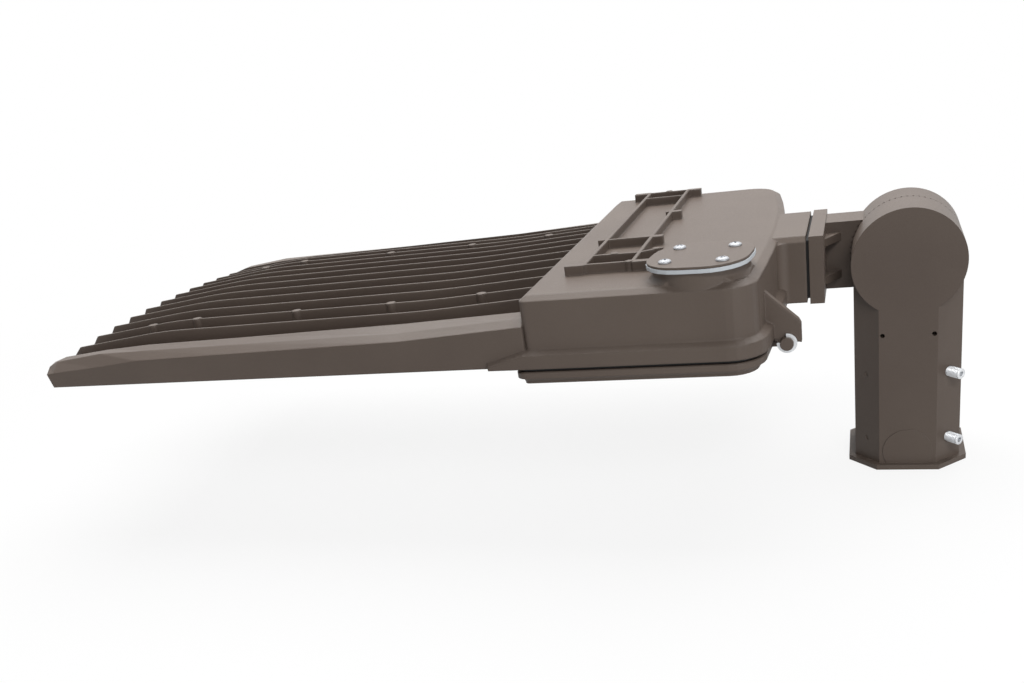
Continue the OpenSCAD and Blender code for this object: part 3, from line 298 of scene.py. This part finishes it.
def cross_ring(arm, width, height):
    """Cross: arm is the reach of an arm, width its half width, height gives Z at a radius."""
    ring = []
    right_angle = math.pi / 2
    corner = math.atan2(width, arm)
    for i in range(AROUND):
        share = CROSS_SHARES[i % QUARTER]
        if share <= 1:
            off = share * corner
            reach = arm / math.cos(off)
        else:
            off = corner + (share - 1) * (right_angle - 2 * corner)
            reach = width / math.sin(off if off < right_angle / 2 else right_angle - off)
        a = right_angle * (i // QUARTER) + off
        x, y = reach * math.cos(a), reach * math.sin(a)
        ring.append(Vector((x, y, height(math.hypot(x, y)))))
    return ring


def thread_rings(r, low, high, pitch):
    """Threaded shank: the crest runs round as a helix and fades at both ends."""
    depth = 0.5 * pitch
    steps = max(2, round((high - low) / pitch * THREAD_STEPS))
    rings = []
    for k in range(steps + 1):
        z = low + (high - low) * k / steps
        fade = min(1.0, 2 * min(z - low, high - z) / pitch)
        ring = []
        for i in range(AROUND):
            phase = (z / pitch - i / AROUND) % 1.0
            reach = r - depth * fade * abs(2 * phase - 1)
            ring.append(Vector((reach * math.cos(math.tau * i / AROUND),
                                reach * math.sin(math.tau * i / AROUND), z)))
        rings.append(ring)
    return rings


def skin(bm, rings, place):
    """Closed surface through rings with equal counts of points, capped at both ends."""
    rows = [[bm.verts.new(place @ p) for p in ring] for ring in rings]
    n = len(rows[0])
    for a, b in zip(rows, rows[1:]):
        for i in range(n):
            f = bm.faces.new((a[i], a[(i + 1) % n], b[(i + 1) % n], b[i]))
            f.smooth = True
    bm.faces.new(rows[0][::-1])
    bm.faces.new(rows[-1])


def block(bm, lo, hi, edge):
    """Box with rounded edges, added to the mesh."""
    made = bmesh.ops.create_cube(bm, size=1.0)["verts"]
    lo, hi = Vector(lo), Vector(hi)
    for v in made:
        v.co = Vector([lo[k] + (v.co[k] + 0.5) * (hi[k] - lo[k]) for k in range(3)])
    # Each edge once, in an order that is the same in each run
    edges = list(dict.fromkeys(e for v in made for e in v.link_edges))
    out = bmesh.ops.bevel(bm, geom=edges, offset=edge, segments=2, profile=0.5, affect="EDGES")
    for f in set(out["faces"]) | {f for v in out["verts"] for f in v.link_faces}:
        f.smooth = True


def upside_down(place):
    return place @ Matrix.Rotation(math.pi, 4, "X")


def disc(bm, centre, r, h):
    """Low round boss with a softened rim, that hangs down from its centre."""
    skin(bm, [round_ring(r, 0), round_ring(r, 0.8 * h), round_ring(0.86 * r, h)],
         upside_down(Matrix.Translation(centre)))


def finish_piece(name, bm, node, coat=None):
    """Makes the mesh a piece that stands for a CAD node and rides on its body.

    coat names its material, where that isn't the one of the node's slot.
    """
    bmesh.ops.recalc_face_normals(bm, faces=bm.faces)
    for e in bm.edges:
        if len(e.link_faces) == 2 and e.calc_face_angle(0.0) > SHARP:
            e.smooth = False
    mesh = bpy.data.meshes.new(name)
    bm.to_mesh(mesh)
    bm.free()
    mesh.materials.append(materials[coat or slot_of[node]])
    obj = bpy.data.objects.new(name, mesh)
    scene.collection.objects.link(obj)
    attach(obj, body_of[node])
    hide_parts(node)


# Screws

def pan_head_rings(shank_r, shank_l, head_r, head_h, pitch):
    """Pan head with a cross recess on a threaded shank, seated at Z = 0 and pointing down."""
    crown_r = 1.6 * head_r  # Radius of the sphere that crowns the head
    arm, width, floor_z = 0.52 * head_r, 0.14 * head_r, 0.35 * head_h  # Of the recess

    def crown(r):
        return head_h - crown_r + math.sqrt(crown_r ** 2 - r ** 2)

    def at(z):
        return lambda r: z

    tip = [round_ring(0.5 * shank_r, -shank_l),
           round_ring(0.8 * shank_r, -shank_l + 0.25 * shank_r)]
    thread = thread_rings(shank_r, -shank_l + 0.3 * shank_r, -0.2 * MM, pitch)
    rim = [round_ring(shank_r, 0), round_ring(0.97 * head_r, 0),
           round_ring(head_r, 0.06 * head_h), round_ring(head_r, crown(head_r) * 0.85),
           round_ring(0.97 * head_r, crown(0.97 * head_r) * 0.97)]
    top = [round_ring(s * head_r, crown(s * head_r)) for s in (0.9, 0.8, 0.7)]
    recess = [cross_ring(arm, width, crown),
              cross_ring(0.93 * arm, 0.8 * width, at(floor_z + 0.12 * head_h)),
              cross_ring(0.6 * arm, 0.6 * width, at(floor_z))]
    return tip + thread + rim + top + recess


def pan_screws(name, node, size, turn, coat=None, down=False):
    """Stands for a node of pan head screws, each turned by turn degrees more than the last.

    size is the shank's radius, the head's radius and height and the pitch, in millimetres.
    """
    shank_r, head_r, head_h, pitch = (MM * value for value in size)
    bm = bmesh.new()
    for k, (lo, hi) in enumerate(islands(node)):
        seat = lo.z + head_h if down else hi.z - head_h
        place = Matrix.Translation(((lo.x + hi.x) / 2, (lo.y + hi.y) / 2, seat))
        if down:
            place = upside_down(place)
        place = place @ Matrix.Rotation(math.radians(turn * (k + 1)), 4, "Z")
        skin(bm, pan_head_rings(shank_r, hi.z - lo.z - head_h, head_r, head_h, pitch), place)
    finish_piece(name, bm, node, coat)


def set_screw(name, node):
    """Threaded set screw with a hex socket, along the normal of the drilled chamfer."""
    lo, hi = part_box(node)
    r = (hi.z - lo.z) / 2
    bevel, pitch, socket_depth = 0.8 * MM, 1.25 * MM, 4.0 * MM
    socket_r = 0.5 * r
    # The CAD rod lies at 45 degrees in plan, so its box is its length plus its width
    length = (hi.x - lo.x) * math.sqrt(2) - 2 * (r - bevel)
    outward = Vector((1, -1, 0))
    corner = Vector((hi.x, lo.y, (lo.z + hi.z) / 2))
    place = outward.normalized().to_track_quat("Z", "Y").to_matrix().to_4x4()
    place.translation = corner - outward * (r - bevel) / math.sqrt(2)
    cup = [round_ring(0.4 * r, -length + 0.9 * MM), round_ring(0.62 * r, -length),
           round_ring(r - bevel, -length)]
    thread = thread_rings(r, -length + 0.5 * bevel, -0.5 * bevel, pitch)
    socket = [round_ring(r - bevel, 0), hex_ring(1.12 * socket_r, 0),
              hex_ring(socket_r, -0.3 * MM), hex_ring(socket_r, -socket_depth),
              round_ring(0.15 * socket_r, -socket_depth - 0.6 * MM)]
    bm = bmesh.new()
    skin(bm, cup + thread + socket, place)
    finish_piece(name, bm, node)


def door_screw(name, node):
    """Captive door screw: cylinder head with a hex socket below, thread above."""
    lo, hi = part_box(node)
    length = hi.z - lo.z
    head_r, head_h, r, pitch = (hi.x - lo.x) / 2, 3.0 * MM, 2.5 * MM, 0.8 * MM
    socket_r, rim = 0.5 * head_r, 0.4 * MM
    place = upside_down(Matrix.Translation(((lo.x + hi.x) / 2, (lo.y + hi.y) / 2, lo.z)))
    tip = [round_ring(0.5 * r, -length), round_ring(0.85 * r, -length + 0.5 * MM)]
    thread = thread_rings(r, -length + 0.6 * MM, -head_h - 6 * MM, pitch)
    head = [round_ring(r, -head_h - 5.6 * MM), round_ring(r, -head_h),
            round_ring(0.95 * head_r, -head_h), round_ring(head_r, -head_h + 0.25 * MM),
            round_ring(head_r, -rim), round_ring(head_r - rim, 0)]
    socket = [hex_ring(1.1 * socket_r, 0), hex_ring(socket_r, -0.25 * MM),
              hex_ring(socket_r, -1.5 * MM), round_ring(0.15 * socket_r, -1.9 * MM)]
    bm = bmesh.new()
    skin(bm, tip + thread + head + socket, place)
    finish_piece(name, bm, node)


pan_screws("cover_pan_screws", "cover_screws", (2.0, 4.4, 2.6, 0.7), 25, "zinc_dull")
pan_screws("driver_pan_screws", "driver_screws", (2.0, 4.0, 2.0, 0.7), 37, down=True)
pan_screws("ground_pan_screw", "ground_screw", (2.0, 4.0, 2.0, 0.7), 15, down=True)
pan_screws("lens_pan_screws", "lens_screws", (1.5, 2.8, 1.4, 0.5), 53, down=True)
set_screw("set_screw_upper_threaded", "set_screw_upper")
set_screw("set_screw_lower_threaded", "set_screw_lower")
door_screw("door_screw_near_socket", "door_screw_near")
door_screw("door_screw_far_socket", "door_screw_far")


# Electrical pieces

def led_packages():
    """Each chip as a white moulded package with a raised window, all in the board's white."""
    inset, step = 0.5 * MM, 0.15 * MM
    bm = bmesh.new()
    for lo, hi in islands("led_chips"):
        block(bm, (lo.x, lo.y, lo.z + step), hi, 0.12 * MM)
        block(bm, (lo.x + inset, lo.y + inset, lo.z),
              (hi.x - inset, hi.y - inset, hi.z - 0.1 * MM), 0.1 * MM)
    finish_piece("led_packages", bm, "led_chips", "board")


def terminal_poles():
    """Terminal block: a base with five poles, each with a clamp screw that looks down."""
    lo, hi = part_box("terminal_block")
    poles, gap, step = 5, 1.6 * MM, 0.6 * MM
    base_h, overlap = 8 * MM, 1 * MM
    screw_r, screw_h = 2.6 * MM, 0.9 * MM
    entry_r, entry_d, entry_z = 2 * MM, 0.5 * MM, (4 * MM, 8 * MM)
    pitch = (hi.x - lo.x) / poles
    bm = bmesh.new()
    block(bm, (lo.x, lo.y, hi.z - base_h), hi, 0.6 * MM)
    for k in range(poles):
        x0 = lo.x + k * pitch + gap / 2
        x1 = x0 + pitch - gap
        mid = (x0 + x1) / 2
        block(bm, (x0, lo.y + step, lo.z + step), (x1, hi.y - step, hi.z - base_h + overlap),
              0.7 * MM)
        disc(bm, (mid, (lo.y + hi.y) / 2, lo.z + screw_h), screw_r, screw_h)
        # Frames of the wire entries on both sides
        for side in (lo.y + 0.9 * MM, hi.y - 0.9 * MM):
            block(bm, (mid - entry_r, side - entry_d, lo.z + entry_z[0]),
                  (mid + entry_r, side + entry_d, lo.z + entry_z[1]), 0.3 * MM)
    finish_piece("terminal_block_poles", bm, "terminal_block")


def driver_case(node):
    """LED driver: rounded case, stamped lid panel and a tab with a screw hole at each end."""
    lo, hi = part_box(node)
    tab, thick, hole = 12 * MM, 2.4 * MM, 2.3 * MM
    lid_in, lid_step, tab_edge = 5 * MM, 0.6 * MM, 0.4 * MM
    mid = (lo.x + hi.x) / 2
    y0, y1 = lo.y + tab, hi.y - tab
    bm = bmesh.new()
    block(bm, (lo.x, y0, lo.z + lid_step), (hi.x, y1, hi.z), 1.4 * MM)
    block(bm, (lo.x + lid_in, y0 + lid_in, lo.z), (hi.x - lid_in, y1 - lid_in, lo.z + 2 * MM),
          0.5 * MM)
    for y, inner in ((lo.y, y0), (hi.y, y1)):
        out = -1 if y < inner else 1
        screw_at = inner + out * tab / 2
        # Two cheeks beside the screw
        for side in (-1, 1):
            a, b = sorted((mid + side * hole, mid + side * tab))
            block(bm, (a, min(y, inner), hi.z - thick), (b, max(y, inner), hi.z), tab_edge)
        # A bridge between the case and the screw, and one beyond it
        for ends in ((inner - out * 0.5 * MM, screw_at - out * hole), (screw_at + out * hole, y)):
            a, b = sorted(ends)
            block(bm, (mid - hole, a, hi.z - thick), (mid + hole, b, hi.z), tab_edge)
    finish_piece(node + "_case", bm, node)


led_packages()
terminal_poles()
driver_case("led_driver_front")
driver_case("led_driver_back")


# Floor and world

SHADOW_CENTRE = (-0.3, 0.0, 0.0)


def background_rays(tree, ray):
    """1 for the rays that are to see a white background: camera, glossy and transmission."""
    found = ray.outputs["Is Camera Ray"]
    for kind in ("Is Glossy Ray", "Is Transmission Ray"):
        either = tree.nodes.new("ShaderNodeMath")
        either.operation = "MAXIMUM"
        tree.links.new(found, either.inputs[0])
        tree.links.new(ray.outputs[kind], either.inputs[1])
        found = either.outputs[0]
    return found


def stage_material():
    """Floor that is white for background rays, but for a share that takes the shadow."""
    mat = bpy.data.materials.new("studio_white")
    mat.use_nodes = True
    tree = mat.node_tree
    tree.nodes.clear()
    link = tree.links.new
    out = add_node(tree, "ShaderNodeOutputMaterial")
    diffuse = add_node(tree, "ShaderNodeBsdfDiffuse")
    glow = add_node(tree, "ShaderNodeEmission", Color=WHITE, Strength=1.0)
    seen = add_node(tree, "ShaderNodeMixShader")
    ray = add_node(tree, "ShaderNodeLightPath")
    # Pale to the camera, darker as a reflector, so that the undersides stay calm
    pale = add_node(tree, "ShaderNodeMapRange", To_Min=0.45, To_Max=0.8)
    # The shadow's share is largest below the object and fades out round it
    place = add_node(tree, "ShaderNodeTexCoord")
    away = add_node(tree, "ShaderNodeVectorMath")
    away.operation = "DISTANCE"
    away.inputs[1].default_value = SHADOW_CENTRE
    fade = add_node(tree, "ShaderNodeMapRange", From_Min=0.35, From_Max=1.3,
                    To_Min=0.88, To_Max=1.0)
    fade.interpolation_type = "SMOOTHSTEP"
    share = add_node(tree, "ShaderNodeMath")
    share.operation = "MULTIPLY"
    link(ray.outputs["Is Camera Ray"], pale.inputs["Value"])
    link(pale.outputs[0], diffuse.inputs[0])
    link(place.outputs["Object"], away.inputs[0])
    link(away.outputs["Value"], fade.inputs["Value"])
    link(background_rays(tree, ray), share.inputs[0])
    link(fade.outputs[0], share.inputs[1])
    link(share.outputs[0], seen.inputs[0])
    link(diffuse.outputs[0], seen.inputs[1])
    link(glow.outputs[0], seen.inputs[2])
    link(seen.outputs[0], out.inputs[0])
    return mat


def light_world():
    """White for background rays, nearly dark for the light on the object."""
    world = bpy.data.worlds.new("studio")
    scene.world = world
    world.use_nodes = True
    tree = world.node_tree
    tree.nodes.clear()
    link = tree.links.new
    out = add_node(tree, "ShaderNodeOutputWorld")
    dim = add_node(tree, "ShaderNodeBackground", Color=WHITE, Strength=0.02)
    white = add_node(tree, "ShaderNodeBackground", Color=WHITE, Strength=1.0)
    seen = add_node(tree, "ShaderNodeMixShader")
    ray = add_node(tree, "ShaderNodeLightPath")
    link(background_rays(tree, ray), seen.inputs[0])
    link(dim.outputs[0], seen.inputs[1])
    link(white.outputs[0], seen.inputs[2])
    link(seen.outputs[0], out.inputs[0])


FLOOR_SIZE, FLOOR_Z = 30, -0.4 * MM
bpy.ops.mesh.primitive_plane_add(size=FLOOR_SIZE, location=(0, 0, FLOOR_Z))
floor = bpy.context.object
floor.name = "floor"
floor.data.materials.append(stage_material())
light_world()


# Lamps and camera

def area(name, where, look, size, watts):
    """Rectangular lamp at where that faces look."""
    data = bpy.data.lights.new(name, "AREA")
    data.shape = "RECTANGLE"
    data.size, data.size_y = size
    data.energy = watts
    obj = bpy.data.objects.new(name, data)
    obj.location = where
    obj.rotation_euler = (Vector(look) - Vector(where)).to_track_quat("-Z", "Y").to_euler()
    scene.collection.objects.link(obj)


area("key_top", (-0.35, 0.6, 1.7), (-0.35, 0.0, 0.15), (2.2, 1.6), 54)
area("front_right", (2.5, -3.1, 0.5), (-0.2, 0.0, 0.12), (2.6, 0.9), 44)
area("front_top", (0.6, -1.9, 1.75), (-0.3, -0.1, 0.16), (1.4, 0.5), 26)

# The camera was fitted to the photograph; focal length and centres are in its pixels
PHOTO_WIDTH, PHOTO_CENTRE = 1024.0, (512.0, 341.5)
FOCAL, PRINCIPAL = 1022.57, (515.78, 469.92)
SENSOR = 36.0
YAW, PITCH, ROLL = 0.36591, 0.41145, 0.15998
CAMERA_AT = (-0.0269, -0.8149, 0.3615)

aim = Matrix.Rotation(YAW, 3, "Z") @ Matrix.Rotation(-PITCH, 3, "X") @ Matrix.Rotation(ROLL, 3, "Y")
right, ahead, up = aim.col
pose = Matrix((right, up, -ahead)).transposed().to_4x4()
pose.translation = Vector(CAMERA_AT)
lens = bpy.data.cameras.new("camera")
lens.sensor_width = SENSOR
lens.lens = FOCAL * SENSOR / PHOTO_WIDTH
lens.shift_x = (PHOTO_CENTRE[0] - PRINCIPAL[0]) / PHOTO_WIDTH
lens.shift_y = (PRINCIPAL[1] - PHOTO_CENTRE[1]) / PHOTO_WIDTH
lens.clip_start, lens.clip_end = 0.02, 60
camera = bpy.data.objects.new("camera", lens)
camera.matrix_world = pose
scene.collection.objects.link(camera)
scene.camera = camera
scene.view_settings.view_transform = "Standard"
